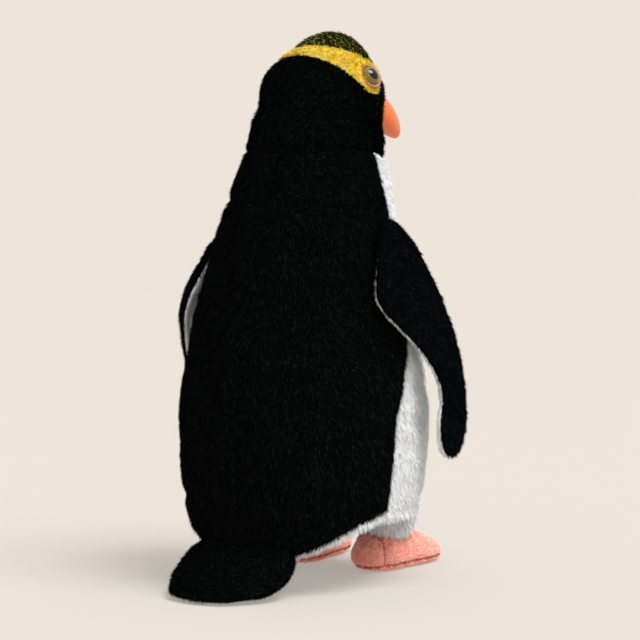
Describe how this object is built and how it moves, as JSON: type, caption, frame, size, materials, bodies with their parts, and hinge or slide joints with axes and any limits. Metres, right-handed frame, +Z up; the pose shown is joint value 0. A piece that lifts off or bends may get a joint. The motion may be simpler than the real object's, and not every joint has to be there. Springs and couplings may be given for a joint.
{
  "type": "plush penguin",
  "caption": "Standing stuffed penguin in black and white fur fabric with a yellow head band, pink feet, a turning head, lifting flippers and a flexing tail.",
  "frame": {"origin": "middle of the footprint box, on the floor under the feet and tail", "axes": "+Z up; the penguin faces -Y; its own right hand side is -X"},
  "size_m": [0.1908, 0.1876, 0.3135],
  "materials": {
    "black_fur": "short pile plush",
    "white_fur": "short pile plush",
    "pink_fur": "short pile plush",
    "yellow_fur": "short pile plush",
    "olive_fur": "short pile plush with yellow tips",
    "orange_vinyl": "soft glossy vinyl",
    "pale_pink_vinyl": "soft vinyl",
    "amber_plastic": "polished safety eye",
    "washer_plastic": "moulded",
    "pouch_cloth": "plain cotton",
    "pellets": "loose plastic pellets",
    "fibre_filling": "loose polyester fibre"
  },
  "bodies": {
    "body": {"back_panel_left": "black_fur", "back_panel_right": "black_fur", "belly_panel": "white_fur", "base_gusset": "white_fur", "body_stuffing": "fibre_filling", "pellet_pouch": "pouch_cloth", "ballast_pellets": "pellets", "leg_cuff_left": "white_fur", "leg_cuff_right": "white_fur", "shoulder_seam_left": "black_fur", "shoulder_seam_right": "black_fur", "tail_seam": "black_fur", "foot_upper_left": "pink_fur", "foot_heel_left": "pink_fur", "foot_sole_left": "pink_fur", "foot_stuffing_left": "fibre_filling", "foot_upper_right": "pink_fur", "foot_heel_right": "pink_fur", "foot_sole_right": "pink_fur", "foot_stuffing_right": "fibre_filling"},
    "head": {"hood_panel_left": "black_fur", "hood_panel_right": "black_fur", "yellow_band": "yellow_fur", "crown_panel": "olive_fur", "head_stuffing": "fibre_filling", "beak_base": "pale_pink_vinyl", "upper_beak": "orange_vinyl", "lower_beak": "orange_vinyl", "eye_left": "amber_plastic", "eye_right": "amber_plastic", "eyelid_left": "pale_pink_vinyl", "eyelid_right": "pale_pink_vinyl", "eye_washer_left": "washer_plastic", "eye_washer_right": "washer_plastic"},
    "left_flipper": {"flipper_back_left": "black_fur", "flipper_lining_left": "white_fur", "flipper_padding_left": "fibre_filling"},
    "right_flipper": {"flipper_back_right": "black_fur", "flipper_lining_right": "white_fur", "flipper_padding_right": "fibre_filling"},
    "tail": {"tail_top": "black_fur", "tail_underside": "black_fur", "tail_stuffing": "fibre_filling"}
  },
  "joints": [
    {"name": "head_turn", "type": "hinge", "parent": "body", "child": "head", "pos_m": [-0.00317, -0.01318, 0.24361], "axis": [0, -0.0715, 0.9974], "range_deg": [-15, 45], "stiffness_Nm_per_rad": 0.1},
    {"name": "left_flipper_lift", "type": "hinge", "parent": "body", "child": "left_flipper", "pos_m": [0.05633, -0.01017, 0.2], "axis": [0.1736, -0.9848, 0], "range_deg": [0, 75]},
    {"name": "right_flipper_lift", "type": "hinge", "parent": "body", "child": "right_flipper", "pos_m": [-0.06267, -0.01017, 0.2], "axis": [0.1736, 0.9848, 0], "range_deg": [0, 75]},
    {"name": "tail_flex", "type": "hinge", "parent": "body", "child": "tail", "pos_m": [-0.00317, 0.05883, 0.024], "axis": [1, 0, 0], "range_deg": [0, 20], "stiffness_Nm_per_rad": 1.5}
  ]
}
